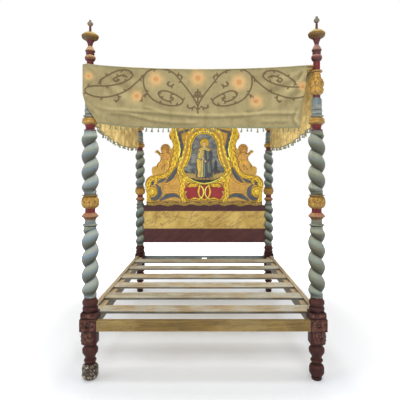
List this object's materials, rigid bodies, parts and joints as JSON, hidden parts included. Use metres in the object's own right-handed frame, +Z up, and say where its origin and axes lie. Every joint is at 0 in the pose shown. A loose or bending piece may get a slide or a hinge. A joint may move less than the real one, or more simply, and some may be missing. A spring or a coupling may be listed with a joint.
{
  "type": "canopy bed",
  "caption": "Painted wooden four-poster bed with twisted posts, carved headboard, loose slats and a cloth canopy with fringed valances.",
  "frame": {"origin": "on the floor at the middle of the four posts", "axes": "+Z up, +Y from the foot of the bed towards the headboard, +X to the right seen from the foot"},
  "size_m": [1.5274, 2.0074, 2.275],
  "materials": {
    "maroon_paint": "worn matt paint",
    "blue_green_paint": "worn matt paint",
    "gilding": "rubbed gilding over red ground",
    "capital_paint": "red, gilt and blue bands, worn",
    "finial_paint": "red paint with gilt rings, worn",
    "ochre_wood": "ochre stain, streaked",
    "blue_grey_paint": "worn matt paint",
    "rail_wood": "dry bare wood",
    "slat_wood": "weathered bare wood",
    "headboard_maroon": "worn matt paint",
    "marbled_paint": "yellow paint with brown veins",
    "crest_paint": "gilt scrolls, ochre fields and blue-grey leaves",
    "niche_paint": "grey-blue paint",
    "figure_paint": "dark robe, pale sleeves and yellow mantle",
    "cartouche_paint": "red paint",
    "iron": "dull, lightly rusted",
    "canopy_cloth": "faded khaki cloth with appliqued vines",
    "fringe_thread": "faded tassels"
  },
  "bodies": {
    "frame": {"leg_front_left": "maroon_paint", "lower_shaft_front_left": "blue_green_paint", "urn_front_left": "gilding", "upper_shaft_front_left": "blue_green_paint", "capital_front_left": "capital_paint", "leg_front_right": "maroon_paint", "lower_shaft_front_right": "blue_green_paint", "urn_front_right": "gilding", "upper_shaft_front_right": "blue_green_paint", "capital_front_right": "capital_paint", "leg_back_left": "maroon_paint", "lower_shaft_back_left": "blue_green_paint", "urn_back_left": "gilding", "upper_shaft_back_left": "blue_green_paint", "capital_back_left": "capital_paint", "leg_back_right": "maroon_paint", "lower_shaft_back_right": "blue_green_paint", "urn_back_right": "gilding", "upper_shaft_back_right": "blue_green_paint", "capital_back_right": "capital_paint", "foot_rail": "ochre_wood", "head_rail": "blue_grey_paint", "side_rail_left": "rail_wood", "side_rail_right": "rail_wood", "bed_bolts": "iron", "bolt_nuts": "iron", "rail_pegs": "rail_wood", "headboard_lower": "headboard_maroon", "headboard_middle": "marbled_paint", "headboard_upper": "headboard_maroon", "crest_board": "crest_paint", "crest_border": "gilding", "niche_panel": "niche_paint", "niche_frame": "gilding", "robed_figure": "figure_paint", "cartouche": "cartouche_paint", "putto_left": "gilding", "putto_right": "gilding", "crest_battens": "rail_wood", "batten_screws": "iron", "tester_rod_front": "iron", "tester_rod_back": "iron", "tester_rod_left": "iron", "tester_rod_right": "iron", "canopy_roof": "canopy_cloth", "valance_front": "canopy_cloth", "valance_left": "canopy_cloth", "valance_right": "canopy_cloth", "valance_fringe": "fringe_thread"},
    "slat_1": {"slat_1": "slat_wood"},
    "slat_2": {"slat_2": "slat_wood"},
    "slat_3": {"slat_3": "slat_wood"},
    "slat_4": {"slat_4": "slat_wood"},
    "slat_5": {"slat_5": "slat_wood"},
    "slat_6": {"slat_6": "slat_wood"},
    "finial_front_left": {"finial_front_left": "finial_paint"},
    "finial_front_right": {"finial_front_right": "finial_paint"},
    "finial_back_left": {"finial_back_left": "finial_paint"},
    "finial_back_right": {"finial_back_right": "finial_paint"}
  },
  "joints": [
    {"name": "slat_1_lift", "type": "slide", "parent": "frame", "child": "slat_1", "axis": [0, 0, 1], "range_m": [0, 0.12]},
    {"name": "slat_2_lift", "type": "slide", "parent": "frame", "child": "slat_2", "axis": [0, 0, 1], "range_m": [0, 0.12]},
    {"name": "slat_3_lift", "type": "slide", "parent": "frame", "child": "slat_3", "axis": [0, 0, 1], "range_m": [0, 0.12]},
    {"name": "slat_4_lift", "type": "slide", "parent": "frame", "child": "slat_4", "axis": [0, 0, 1], "range_m": [0, 0.12]},
    {"name": "slat_5_lift", "type": "slide", "parent": "frame", "child": "slat_5", "axis": [0, 0, 1], "range_m": [0, 0.12]},
    {"name": "slat_6_lift", "type": "slide", "parent": "frame", "child": "slat_6", "axis": [0, 0, 1], "range_m": [0, 0.12]},
    {"name": "finial_front_left_lift", "type": "slide", "parent": "frame", "child": "finial_front_left", "axis": [0, 0, 1], "range_m": [0, 0.06]},
    {"name": "finial_front_right_lift", "type": "slide", "parent": "frame", "child": "finial_front_right", "axis": [0, 0, 1], "range_m": [0, 0.06]},
    {"name": "finial_back_left_lift", "type": "slide", "parent": "frame", "child": "finial_back_left", "axis": [0, 0, 1], "range_m": [0, 0.06]},
    {"name": "finial_back_right_lift", "type": "slide", "parent": "frame", "child": "finial_back_right", "axis": [0, 0, 1], "range_m": [0, 0.06]}
  ]
}
